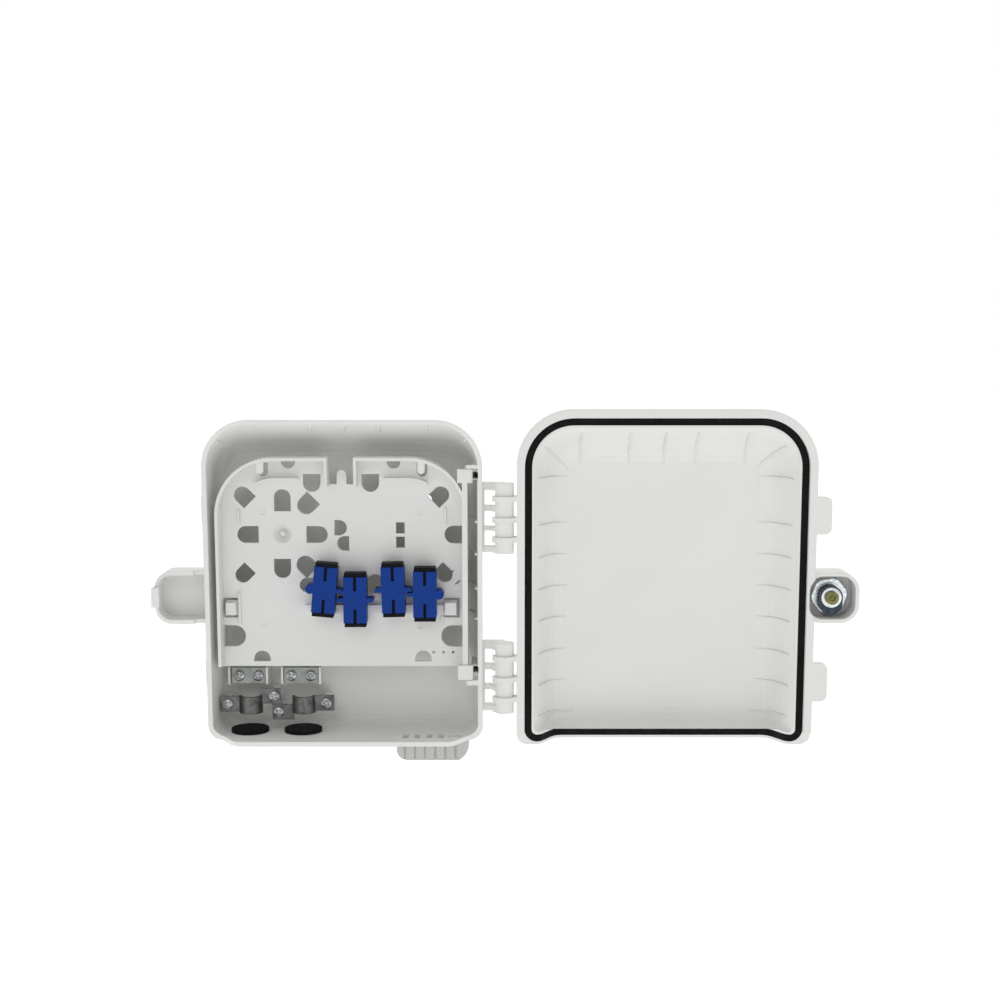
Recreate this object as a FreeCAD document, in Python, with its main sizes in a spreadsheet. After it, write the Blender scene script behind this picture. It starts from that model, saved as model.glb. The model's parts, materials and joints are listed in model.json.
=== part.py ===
"""Wall-mounted fibre termination box with its cover swung fully open.

Frame: X to the right, +Y into the wall, +Z up, millimetres. The origin is the middle of the
base's back face. The cover hangs on a vertical hinge line to the right of the base.
"""
import FreeCAD, Part
import math
import os
import Sketcher

doc = FreeCAD.newDocument("FiberTerminationBox")
Vector = FreeCAD.Vector
Rotation = FreeCAD.Rotation
FACING_FRONT = Rotation(Vector(1, 0, 0), 90)

SIZES = {
    # base
    "base_half_width": 76.5, "base_top": 89.0, "base_bottom": -89.0,
    "base_depth": 34.0, "back_half_width": 74.0, "back_top": 72.0,
    "base_wall": 2.6, "base_floor": 2.5, "top_corner": 26.0, "bottom_corner": 8.0,
    # mating line: the bottom edge stands forward of the rim plane
    "step": 15.0, "step_half_width": 58.5, "ramp": 11.5, "strip_top": -84.5,
    # hinge line of the cover
    "hinge_x": 88.6, "hinge_rod": 5.1, "hook_gap": 0.15, "hook_outer": 6.7, "hook_width": 2.9,
    "window_left": 77.6, "window_height": 8.6, "lug_back": -25.0, "lug_front": -30.0,
    # cover
    "cover_x": 177.2, "cover_half_width": 81.8, "cover_top": 94.6, "cover_bottom": -91.5,
    "cover_corner": 31.0, "cover_bottom_corner": 6.0, "cover_back": -8.0, "cover_floor": 2.5,
    "lip_rise": 3.0, "flange": 6.0, "rim_half_width": 72.3, "rim_top": 84.8, "rim_bottom": -84.9,
    "well_half_width": 62.0, "well_top": 72.0, "well_bottom": -83.9, "shell": 2.8,
    # gasket in its groove
    "gasket_half_width": 75.5, "gasket_top": 88.0, "gasket_bottom": -88.0, "gasket_width": 4.0,
    "gasket_corner": 25.0, "groove_depth": 3.5, "gasket_clear": 0.2,
    # lock lug, lock and the hood that receives it
    "lug_right": 284.0, "lug_top": 5.2, "lug_bottom": -22.7, "lug_floor_front": -18.0,
    "lug_floor_back": -15.5, "lug_wall": 2.0, "lock_x": 269.6, "lock_z": -9.3,
    "cam_back": -26.5, "cam_front": -29.0, "cam_width": 12.8, "cam_reach": 3.4,
    "hood_left": -103.8, "hood_top": 5.9, "hood_bottom": -23.3, "hood_wall": 1.5,
    "hood_floor": -20.0, "keeper_wall": 1.2, "keeper_front": -43.8,
    "keeper_low": -12.4, "keeper_high": -1.8,
    # splice tray
    "tray_left": -70.0, "tray_right": 68.4, "tray_top": 68.4, "tray_bottom": -49.4,
    "tray_corner": 32.0, "tray_front": -34.0, "tray_floor_front": -22.5,
    "tray_floor_back": -20.5, "tray_wall": 1.8, "tray_side": 3.0, "guide_inset": 11.6,
    "tray_axis_x": 69.2, "tray_axis_y": -33.0, "hub_x": -34.4, "hub_z": 25.5,
    # adapters
    "adapter_width": 12.8, "adapter_length": 25.6, "adapter_height": 9.3, "rack_front": -25.0,
    # cable fixing
    "entry_y": -24.0, "entry_left": -54.7, "entry_right": -24.8, "seal_radius": 10.5,
    "clamp_front": -20.0, "clamp_plate": 1.5, "clamp_z": -71.8, "screw_head": 2.95,
    "screw_shank": 1.5, "plate_front": -14.0, "plate_z": -56.6,
    # wall screws
    "wall_hole": 2.6, "wall_x": 45.0, "wall_z": 42.5,
}


def make_sheet():
    page = doc.addObject("Spreadsheet::Sheet", "Sizes")
    for row, (alias, size) in enumerate(SIZES.items(), start=1):
        page.set(f"A{row}", alias)
        page.set(f"B{row}", str(size))
        page.setAlias(f"B{row}", alias)
    page.recompute()
    return page


sheet = make_sheet()


def bound(text):
    """Writes the sheet's name before each of its aliases in an expression."""
    words = []
    for word in str(text).split():
        bare = word.strip("()-+")
        words.append(word.replace(bare, f"Sizes.{bare}") if bare in SIZES else word)
    return " ".join(words)


def number(text):
    found = sheet.evalExpression(bound(text))
    return float(getattr(found, "Value", found))


def bind(item, prop, text):
    item.setExpression(prop, bound(text))


def box(name, x, y, z):
    """A block; x, y and z are pairs of expressions, low and high."""
    item = doc.addObject("Part::Box", name)
    for side, axis, (low, high) in zip(("Length", "Width", "Height"), "xyz", (x, y, z)):
        bind(item, side, f"( {high} ) - ( {low} )")
        bind(item, f"Placement.Base.{axis}", str(low))
    return item


def rod(name, radius, x, y, z, along="Z"):
    """A round bar. The axis given by along takes a pair; the other two take one expression."""
    item = doc.addObject("Part::Cylinder", name)
    bind(item, "Radius", radius)
    place = {"x": x, "y": y, "z": z}
    low, high = place[along.lower()]
    bind(item, "Height", f"( {high} ) - ( {low} )")
    turn = {"Z": Rotation(), "Y": Rotation(Vector(1, 0, 0), -90), "X": Rotation(Vector(0, 1, 0), 90)}
    item.Placement = FreeCAD.Placement(Vector(), turn[along])
    place[along.lower()] = low
    for axis, text in place.items():
        bind(item, f"Placement.Base.{axis}", str(text))
    return item


def cone(name, back_radius, front_radius, x, y, z):
    """A cone along Y. The pair y is the back and the front of it."""
    item = doc.addObject("Part::Cone", name)
    bind(item, "Radius1", back_radius)
    bind(item, "Radius2", front_radius)
    bind(item, "Height", f"( {y[0]} ) - ( {y[1]} )")
    item.Placement = FreeCAD.Placement(Vector(), FACING_FRONT)
    for axis, text in (("x", x), ("y", y[0]), ("z", z)):
        bind(item, f"Placement.Base.{axis}", str(text))
    return item


def fuse(name, items):
    item = doc.addObject("Part::MultiFuse", name)
    item.Shapes = items
    item.Refine = True
    return item


def common(name, items):
    item = doc.addObject("Part::MultiCommon", name)
    item.Shapes = items
    return item


def cut(name, base, tools):
    tool = tools[0] if len(tools) == 1 else fuse(f"{name}_tools", tools)
    item = doc.addObject("Part::Cut", name)
    item.Base = base
    item.Tool = tool
    item.Refine = True
    return item


def rounded(name, plane, left, right, bottom, top, top_radius, bottom_radius):
    """A rounded rectangle drawn in the X-Z plane at Y = plane, facing the viewer."""
    sketch = doc.addObject("Sketcher::SketchObject", name)
    sketch.Placement = FreeCAD.Placement(Vector(), FACING_FRONT)
    bind(sketch, "Placement.Base.y", plane)
    x0, x1, z0, z1 = (number(text) for text in (left, right, bottom, top))
    high, low = number(top_radius), number(bottom_radius)
    corners = [(x1 - low, z0 + low, low, -90), (x1 - high, z1 - high, high, 0),
               (x0 + high, z1 - high, high, 90), (x0 + low, z0 + low, low, 180)]
    for index, (cx, cz, radius, start) in enumerate(corners):
        px, pz, before, swing = corners[index - 1]
        turn = math.radians(swing + 90)
        leave = Vector(px + before * math.cos(turn), pz + before * math.sin(turn), 0)
        begin = math.radians(start)
        meet = Vector(cx + radius * math.cos(begin), cz + radius * math.sin(begin), 0)
        sketch.addGeometry(Part.LineSegment(leave, meet), False)
        circle = Part.Circle(Vector(cx, cz, 0), Vector(0, 0, 1), radius)
        sketch.addGeometry(Part.ArcOfCircle(circle, begin, begin + math.pi / 2), False)
    for side in range(4):
        line, arc, following = 2 * side, 2 * side + 1, (2 * side + 2) % 8
        sketch.addConstraint(Sketcher.Constraint("Tangent", line, 2, arc, 1))
        sketch.addConstraint(Sketcher.Constraint("Tangent", arc, 2, following, 1))
    for line, kind in ((0, "Horizontal"), (2, "Vertical"), (4, "Horizontal"), (6, "Vertical")):
        sketch.addConstraint(Sketcher.Constraint(kind, line))
    sizes = [("low_edge", "DistanceY", 0, z0, bottom), ("right_edge", "DistanceX", 2, x1, right),
             ("high_edge", "DistanceY", 4, z1, top), ("left_edge", "DistanceX", 6, x0, left)]
    for label, kind, line, size, text in sizes:
        at = sketch.addConstraint(Sketcher.Constraint(kind, -1, 1, line, 1, size))
        sketch.renameConstraint(at, label)
        bind(sketch, f"Constraints.{label}", text)
    for label, arc, size, text in (("low_round", 1, low, bottom_radius),
                                   ("high_round", 3, high, top_radius)):
        at = sketch.addConstraint(Sketcher.Constraint("Radius", arc, size))
        sketch.renameConstraint(at, label)
        bind(sketch, f"Constraints.{label}", text)
    sketch.addConstraint(Sketcher.Constraint("Equal", 1, 7))
    sketch.addConstraint(Sketcher.Constraint("Equal", 3, 5))
    return sketch


def prism(name, sketch, length):
    """Pushes a drawing towards the viewer, or up for a drawing that lies flat."""
    item = doc.addObject("Part::Extrusion", name)
    item.Base = sketch
    item.DirMode = "Normal"
    item.Solid = True
    bind(item, "LengthFwd", length)
    return item


def flat_polygon(name, height, points):
    """A polygon lying flat at Z = height, from pairs of X and Y expressions."""
    sketch = doc.addObject("Sketcher::SketchObject", name)
    bind(sketch, "Placement.Base.z", height)
    spots = [Vector(number(x), number(y), 0) for x, y in points]
    for index, spot in enumerate(spots):
        sketch.addGeometry(Part.LineSegment(spot, spots[(index + 1) % len(spots)]), False)
    for index, (x, y) in enumerate(points):
        following = (index + 1) % len(points)
        sketch.addConstraint(Sketcher.Constraint("Coincident", index, 2, following, 1))
        spot = spots[index]
        for label, kind, size, text in ((f"px{index}", "DistanceX", spot.x, x),
                                        (f"py{index}", "DistanceY", spot.y, y)):
            at = sketch.addConstraint(Sketcher.Constraint(kind, -1, 1, index, 1, size))
            sketch.renameConstraint(at, label)
            bind(sketch, f"Constraints.{label}", text)
    return sketch


def loft(name, sections):
    item = doc.addObject("Part::Loft", name)
    item.Sections = sections
    item.Solid = True
    item.Ruled = True
    return item


def label(item, node):
    item.Label = node
    nodes.append(item)
    return item


nodes = []


# ---------------------------------------------------------------- base shell
def base_outline(name, plane, half_width, top, inset, shrink):
    """An outline of the base at one depth, moved in by inset, its top corners tightened by shrink."""
    half = f"{half_width} - ( {inset} )"
    return rounded(name, plane, f"0 - ( {half} )", half, f"base_bottom + {inset}",
                   f"{top} - ( {inset} )",
                   f"top_corner - ( {inset} ) - {shrink}", f"bottom_corner - ( {inset} ) * 0.6")


def base_cavity(name, inset):
    """The room inside the base, its floor rounded into the walls."""
    sections = []
    for step, (rise, turn) in enumerate(FLOOR_ROUND):
        share = f"( base_floor + {rise} ) / base_depth"
        sections.append(base_outline(
            f"{name}_line_{step}", f"0 - base_floor - {rise}",
            f"back_half_width + ( base_half_width - back_half_width ) * {share}",
            f"back_top + ( base_top - back_top ) * {share}", f"{inset} + {turn}", "4"))
    sections.append(base_outline(f"{name}_mouth", "0 - base_depth", "base_half_width", "base_top",
                                 inset, "0"))
    return loft(name, sections)


# How the floors run into the walls: height above the floor and step in from the wall.
FLOOR_ROUND = [(0, 8.0), (0.8, 4.8), (2.5, 2.4), (5.5, 0.8), (10.0, 0)]


def base_casing():
    """The tapered outside of the base, its top wall sloping in towards the back."""
    back = base_outline("base_back_line", "0", "back_half_width", "back_top", "0", "4")
    rim = base_outline("base_rim_line", "0 - base_depth", "base_half_width", "base_top", "0", "0")
    return loft("base_outer", [back, rim])


# The mating line from the rim plane up to the raised bottom edge, on one side: how far along the
# ramp, and how much of the step is climbed there.
RAMP_CURVE = [(1.0, 0.0), (0.82, 0.1), (0.6, 0.38), (0.35, 0.72), (0.12, 0.93), (-0.15, 1.0)]


def mating_line(centre, offset):
    """Points along the bottom edge's mating line, from left to right, moved back by offset."""
    left = [(f"{centre} - step_half_width - ramp * {far}", f"step * {climb} * {offset[1]} {offset[0]}")
            for far, climb in RAMP_CURVE]
    right = [(f"{centre} + step_half_width + ramp * {far}", f"step * {climb} * {offset[1]} {offset[0]}")
             for far, climb in reversed(RAMP_CURVE)]
    return left + right


def raised_bottom():
    """The bottom wall stands forward of the rim between two curved ramps, to take the cable ports."""
    edge = mating_line("0", ("- base_depth", "-1"))
    foot = f"step_half_width + ramp * {RAMP_CURVE[0][0]}"
    close = [(foot, "1 - base_depth"), (f"0 - ( {foot} )", "1 - base_depth")]
    return prism("raised_wall", flat_polygon("raised_line", "base_bottom", edge + close), "base_wall")


def slanted_bar(name, x, y, z, long, angle):
    """A thin upright bar that starts at X, Z and runs off at an angle."""
    bar = box(name, (x, x + long), y, (z, z + 1))
    bar.Placement = FreeCAD.Placement(Vector(x, y[0], z), Rotation(Vector(0, 1, 0), -angle))
    return bar


def base_ribs(inner):
    """Short moulded ribs: along the top near the rim, in the corners, and down the right wall."""
    core = base_cavity("base_rib_core", "base_wall + 1.3")
    bars = [box(f"top_rib_{i}", (x - 0.5, x + 0.5), (-33, -27), (60, 88.5))
            for i, x in enumerate((-17, 1, 20, 46))]
    bars += [slanted_bar("corner_rib_left", -56, (-33, -27), 66, 30, 135),
             slanted_bar("corner_rib_right", 56, (-33, -27), 66, 30, 45)]
    bars += [box(f"side_rib_{i}", (68, 75.8), (-31, -4), (z - 0.5, z + 0.5))
             for i, z in enumerate((33, 15, -4, -21))]
    return common("base_ribs", [fuse("base_rib_bars", bars), cut("rib_zone", inner, [core])])


def hinge_knuckles():
    """Two hinge stations: a rod carried on four lugs, with three windows for the cover's hooks."""
    made = []
    for station, (low, high, windows) in enumerate(STATIONS):
        web = box(f"hinge_web_{station}", ("base_half_width - 1.5", "hinge_x"),
                  ("lug_front", "lug_back"), (low, high))
        cheek = box(f"hinge_cheek_{station}", ("window_left", "hinge_x"),
                    ("0 - base_depth", "lug_back"), (low, high))
        throat = rod(f"hinge_throat_{station}", "hook_outer - 0.1", "hinge_x", "0 - base_depth",
                     (low, high))
        shoulder = common(f"hinge_shoulder_{station}", [cheek, throat])
        openings = [box(f"hinge_window_{station}_{i}", ("window_left", "hinge_x + 8"), (-42, -20),
                        (f"{z} - window_height / 2", f"{z} + window_height / 2"))
                    for i, z in enumerate(windows)]
        lugs = cut(f"hinge_lugs_{station}", fuse(f"hinge_plate_{station}", [web, shoulder]), openings)
        made.append(lugs)
        made.append(rod(f"hinge_rod_{station}", "hinge_rod", "hinge_x", "0 - base_depth", (low, high)))
    return made


STATIONS = [(16.3, 54.7, (46.3, 34.7, 23.9)), (-73.1, -33.7, (-42.3, -54.0, -65.3))]


def lock_hood():
    """A shallow cup on the left wall that receives the lock, with a keeper for the cam."""
    body = rounded("hood_line", "hood_floor + 2.5", "hood_left", "10 - base_half_width",
                   "hood_bottom", "hood_top", "9", "9")
    hollow = rounded("hood_well_line", "hood_floor", "hood_left + hood_wall", "12 - base_half_width",
                     "hood_bottom + hood_wall + 0.7", "hood_top - hood_wall - 0.7", "7.5", "7.5")
    outer = prism("hood_outer", body, "hood_floor + 2.5 + base_depth - 0.3")
    inner = prism("hood_well", hollow, "40")
    span = ("keeper_low", "keeper_high")
    keep = box("keeper_wall", ("hood_left", "hood_left + keeper_wall"), ("keeper_front", -30), span)
    tip = box("keeper_tip", ("hood_left", "hood_left + 4.2"), ("keeper_front", "keeper_front + 1.6"),
              span)
    lip_room = box("hood_lip_room", ("0 - cover_half_width - 0.6", "0 - base_half_width + 3"),
                   (-40, -30.5),
                   ("hood_bottom - 1", "hood_top + 1"))
    return cut("hood_cup", outer, [inner, lip_room]), [keep, tip]


def tray_brackets():
    """Two pillars on the right wall, each with an arm and an upright pin for a tray ear."""
    made, holes = [], []
    for i, (pillar, hole, arm, pin) in enumerate(BRACKETS):
        made.append(box(f"bracket_pillar_{i}", ("tray_axis_x + 1", 74.9), ("tray_axis_y + 2.6", -2),
                        pillar))
        holes.append(box(f"bracket_eye_{i}", (71.2, 74.2), (-40, -16), hole))
        made.append(box(f"bracket_arm_{i}", ("tray_axis_x", 74.9),
                        ("tray_axis_y - 1", "tray_axis_y + 4"), arm))
        made.append(rod(f"bracket_foot_{i}", "1.9", "tray_axis_x", "tray_axis_y", arm))
        made.append(rod(f"bracket_pin_{i}", "1.1", "tray_axis_x", "tray_axis_y", pin))
    return made, holes


# Tray ears, and the height ranges of each bracket's pillar, hole, arm and pin.
EARS = [(54.8, 62.2), (-54.7, -46.5)]
BRACKETS = [((56.2, 64.4), (56.9, 60.5), (62.6, 64.4), (55.6, 63.4)),
            ((-57.9, -47.0), (-51.3, -47.7), (-57.9, -55.1), (-56.0, -47.4))]


def base_bosses():
    """Pillars under the clamps and plates, tray rests and the catch lobes."""
    made, holes = [], []
    for i, (x, z) in enumerate(CLAMP_SCREWS):
        made.append(rod(f"clamp_boss_{i}", "3.6", x, ("clamp_front + clamp_plate",
                                                      "0 - base_floor + 0.5"), z, "Y"))
        holes.append(rod(f"clamp_boss_hole_{i}", "screw_shank", x, ("clamp_front - 1", -8), z, "Y"))
    for i, (x, z) in enumerate(PLATE_SCREWS):
        made.append(rod(f"plate_boss_{i}", "3.4", x, ("plate_front + 1.5", "0 - base_floor + 0.5"), z,
                        "Y"))
        holes.append(rod(f"plate_boss_hole_{i}", "screw_shank", x, ("plate_front - 1", -6), z, "Y"))
    for i, x in enumerate((-67.4, -46.0, -37.4, -16.0)):
        made.append(box(f"plate_fence_{i}", (x - 0.6, x + 0.6), (-15.5, -2), (-61.5, -51.5)))
    for i, (x, z) in enumerate(((-63.5, 14), (62, 13), (-60, -44.5), (57.5, -45.5))):
        made.append(rod(f"tray_rest_{i}", "3", x, ("tray_floor_back + 0.2", "0 - base_floor + 0.5"), z,
                        "Y"))
    for i, (low, high) in enumerate(((31.7, 47.1), (-58.9, -44.1))):
        made.append(box(f"catch_lobe_{i}", ("0 - base_half_width - 1.2", "0 - base_half_width + 2"),
                        (-29.5, -20), (low, high)))
    return made, holes


CLAMP_SCREWS = [(-67.7, -71.8), (-41.3, -67.2), (-39.0, -76.4), (-12.0, -71.2)]
PLATE_SCREWS = [(-61.8, -56.7), (-51.0, -56.7), (-32.3, -56.7), (-21.2, -56.7)]
PORT_SLOTS = [(33.8, 3.0), (40.4, 3.0), (46.9, 3.0), (53.5, 3.0), (61.0, 8.0)]


def base_openings():
    """Cable entries, drop-cable slots and the four wall screw holes."""
    made = [rod(f"entry_hole_{i}", "seal_radius - 1.7", x, "entry_y",
                ("base_bottom - 1", "base_bottom + 4"))
            for i, x in enumerate(("entry_left", "entry_right"))]
    for i, (x, wide) in enumerate(PORT_SLOTS):
        deep = (-40, -32) if wide < 5 else (-37.5, -34.5)
        made.append(box(f"port_slot_{i}", (x - wide / 2, x + wide / 2), deep,
                        ("base_bottom - 1", "base_bottom + 4")))
    for i, (x, z) in enumerate((("wall_x", "wall_z"), ("0 - wall_x", "wall_z"),
                                ("wall_x", "0 - wall_z"), ("0 - wall_x", "0 - wall_z"))):
        made.append(rod(f"wall_hole_{i}", "wall_hole", x, (-6, 1), z, "Y"))
    return made


def build_base():
    inner = base_cavity("base_inside", "base_wall")
    cup, keepers = lock_hood()
    bosses, boss_holes = base_bosses()
    brackets, eyes = tray_brackets()
    casing = fuse("base_outside", [base_casing(), cup] + hinge_knuckles())
    hollow = cut("base_hollow", casing, [inner])
    extras = [hollow, raised_bottom(), base_ribs(inner)] + keepers + bosses + brackets
    solid = fuse("base_solid", extras)
    return label(cut("base", solid, boss_holes + eyes + base_openings()), "base_shell")


build_base()


# ---------------------------------------------------------------- mating line of the cover
def stepped_band(name, centre, front, back, low_front=None):
    """A slab from front to back of the mating line, which steps back along the bottom edge.

    Along that edge its front may be another one, low_front.
    """
    wide = "cover_half_width + 30"
    ends = (f"{centre} - ( {wide} )", f"{centre} + {wide}")
    points = []
    for depth in (low_front or front, back):
        line = mating_line(centre, (f"- base_depth + ( {depth} )", "1"))
        line = [(ends[0], f"{depth} - base_depth")] + line + [(ends[1], f"{depth} - base_depth")]
        points += reversed(line) if points else line
    strip = prism(f"{name}_strip", flat_polygon(f"{name}_line", "-110", points), "strip_top + 110")
    slab = box(f"{name}_slab", ends, (f"{front} - base_depth", f"{back} - base_depth"),
               ("strip_top", 110))
    return fuse(name, [strip, slab])


def cover_outline(name, plane, half_width, bottom, top, top_radius, bottom_radius):
    return rounded(name, plane, f"cover_x - ( {half_width} )", f"cover_x + {half_width}", bottom, top,
                   top_radius, bottom_radius)


def ring_outline(name, side):
    """The gasket's path, moved out or in by half its width."""
    grow = f"gasket_width / 2 * {side}"
    return cover_outline(name, "0", f"gasket_half_width + {grow}", f"gasket_bottom - {grow}",
                         f"gasket_top + {grow}", f"gasket_corner + {grow}", f"5 + {grow}")


def cover_cavity(name, inset):
    """The room inside the cover, its floor rounded into the walls."""
    deep = "( base_depth + 4 + cover_back - cover_floor )"
    sections = []
    for step, (rise, turn) in enumerate(FLOOR_ROUND):
        share = f"{rise} / {deep}"
        sections.append(cover_outline(
            f"{name}_line_{step}", f"cover_back - cover_floor - {rise}",
            f"well_half_width + ( rim_half_width + 1.5 - well_half_width ) * {share} - {inset} - {turn}",
            f"well_bottom - ( well_bottom - rim_bottom ) * {share} + {inset} + {turn}",
            f"well_top + ( rim_top + 2 - well_top ) * {share} - {inset} - {turn}",
            f"14 + 8 * {share} - {inset} - {turn}", "3"))
    sections.append(cover_outline(
        f"{name}_mouth", "0 - base_depth - 4", f"rim_half_width + 1.5 - {inset}", f"rim_bottom + {inset}",
        f"rim_top + 2 - {inset}", f"22 - {inset}", "3"))
    return loft(name, sections)


def cover_dome():
    """The outside of the cover behind its flange, tapering to a flat face."""
    face = cover_outline("cover_face_line", "cover_back", "well_half_width + 2.2",
                         "well_bottom - shell",
                         "well_top + 2.6", "16", "4")
    foot = cover_outline("cover_foot_line", "0 - base_depth + flange - 1", "rim_half_width + 1.4",
                         "rim_bottom - shell", "rim_top + 2.2", "24", "4")
    return loft("cover_dome", [face, foot])


def cover_ribs(cavity):
    """Short ribs down the cover's walls, ending where they run into its floor."""
    zone = cut("cover_rib_zone", cavity, [cover_cavity("cover_rib_core", "1.1")])
    deep = (-29, -10)
    bars = []
    for i, z in enumerate((56.2, 30.3, 12.4, -5.5, -23.3, -41.8, -59.6, -77.3)):
        bars.append(box(f"cover_rib_left_{i}", ("cover_x - 80", "cover_x - 50"), deep,
                        (z - 0.4, z + 0.4)))
        bars.append(box(f"cover_rib_right_{i}", ("cover_x + 50", "cover_x + 80"), deep,
                        (z - 0.4, z + 0.4)))
    for i, x in enumerate((-46.3, -19.2, 0, 17.7, 45.3)):
        bars.append(box(f"cover_rib_top_{i}", (f"cover_x + {x} - 0.4", f"cover_x + {x} + 0.4"), deep,
                        (60, 90)))
    middle = SIZES["cover_x"]
    bars.append(slanted_bar("cover_rib_corner_left", middle - 52, deep, 60, 40, 135))
    bars.append(slanted_bar("cover_rib_corner_right", middle + 52, deep, 60, 40, 45))
    return common("cover_ribs", [fuse("cover_rib_bars", bars), zone])


def cover_hooks():
    """Six C-shaped hooks on the hinge side, each snapped over the base's hinge rod."""
    made = []
    for i, z in enumerate(STATIONS[0][2] + STATIONS[1][2]):
        span = (f"{z} - hook_width / 2", f"{z} + hook_width / 2")
        outside = rod(f"hook_outside_{i}", "hook_outer", "hinge_x", "0 - base_depth", span)
        root = box(f"hook_root_{i}", ("hinge_x + 4", "hinge_x + 8.5"),
                   ("0 - base_depth - 3", "0 - base_depth + 3"), span)
        inside = rod(f"hook_inside_{i}", "hinge_rod + hook_gap", "hinge_x", "0 - base_depth",
                     (f"{z} - 3", f"{z} + 3"))
        throat = box(f"hook_throat_{i}", ("hinge_x - 9", "hinge_x + 2.6"),
                     ("0 - base_depth + 1.2", "0 - base_depth + 9"),
                     (f"{z} - 3", f"{z} + 3"))
        made.append(cut(f"hook_{i}", fuse(f"hook_blank_{i}", [outside, root]), [inside, throat]))
    return made


def lock_lug():
    body = rounded("lug_line", "lug_floor_back", "cover_x + cover_half_width - 6", "lug_right",
                   "lug_bottom", "lug_top", "10", "10")
    hollow = rounded("lug_well_line", "lug_floor_front", "cover_x + gasket_half_width + 3.4",
                     "lug_right - lug_wall",
                     "lug_bottom + lug_wall", "lug_top - lug_wall", "8", "8")
    outer = prism("lug_outer", body, "lug_floor_back + base_depth")
    inner = prism("lug_well", hollow, "40")
    return outer, inner


def cover_tabs():
    """Two finger tabs beside the lock, level with the catch lobes of the base."""
    made = []
    for i, (low, high) in enumerate(((26.9, 47.3), (-66.4, -45.0))):
        line = rounded(f"tab_line_{i}", "0 - base_depth + 1", "cover_x + cover_half_width - 8",
                       "cover_x + cover_half_width + 8", str(low), str(high), "3.5", "3.5")
        made.append(prism(f"tab_{i}", line, "4"))
    return made


def build_cover():
    cavity = cover_cavity("cover_inside", "0")
    edge = prism("cover_edge", cover_outline("cover_edge_line", "0", "cover_half_width", "cover_bottom",
                                             "cover_top",
                                             "cover_corner", "cover_bottom_corner"), "60")
    rim = common("cover_rim", [edge, stepped_band("rim_band", "cover_x", "0 - lip_rise", "flange",
                                                  "0")])
    relief = common("cover_relief", [prism("cover_relief_outline", ring_outline("relief_line", 1),
                                           "60"),
                                     stepped_band("relief_band", "cover_x", "-20", "0")])
    ring = cut("groove_ring", prism("groove_outside", ring_outline("groove_out_line", 1), "60"),
               [prism("groove_inside", ring_outline("groove_in_line", -1), "60")])
    groove = common("cover_groove", [ring, stepped_band("groove_band", "cover_x", "0", "groove_depth")])
    lug, lug_well = lock_lug()
    tabs = cover_tabs()
    outside = fuse("cover_outside", [cover_dome(), rim, lug] + tabs)
    bore = rod("lock_bore", "7.5", "lock_x", (-40, 0), "lock_z", "Y")
    hollow = cut("cover_hollow", outside, [cavity, relief, groove, lug_well, bore])
    label(fuse("cover", [hollow, cover_ribs(cavity)] + cover_hooks()), "cover_shell")
    seal_ring = cut("seal_ring", prism("seal_outside", ring_outline("seal_out_line", 1), "60"),
                    [prism("seal_inside", ring_outline("seal_in_line", -1), "60")])
    band = stepped_band("seal_band", "cover_x", "gasket_clear", "groove_depth")
    label(common("gasket", [seal_ring, band]), "cover_gasket")


build_cover()


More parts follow.
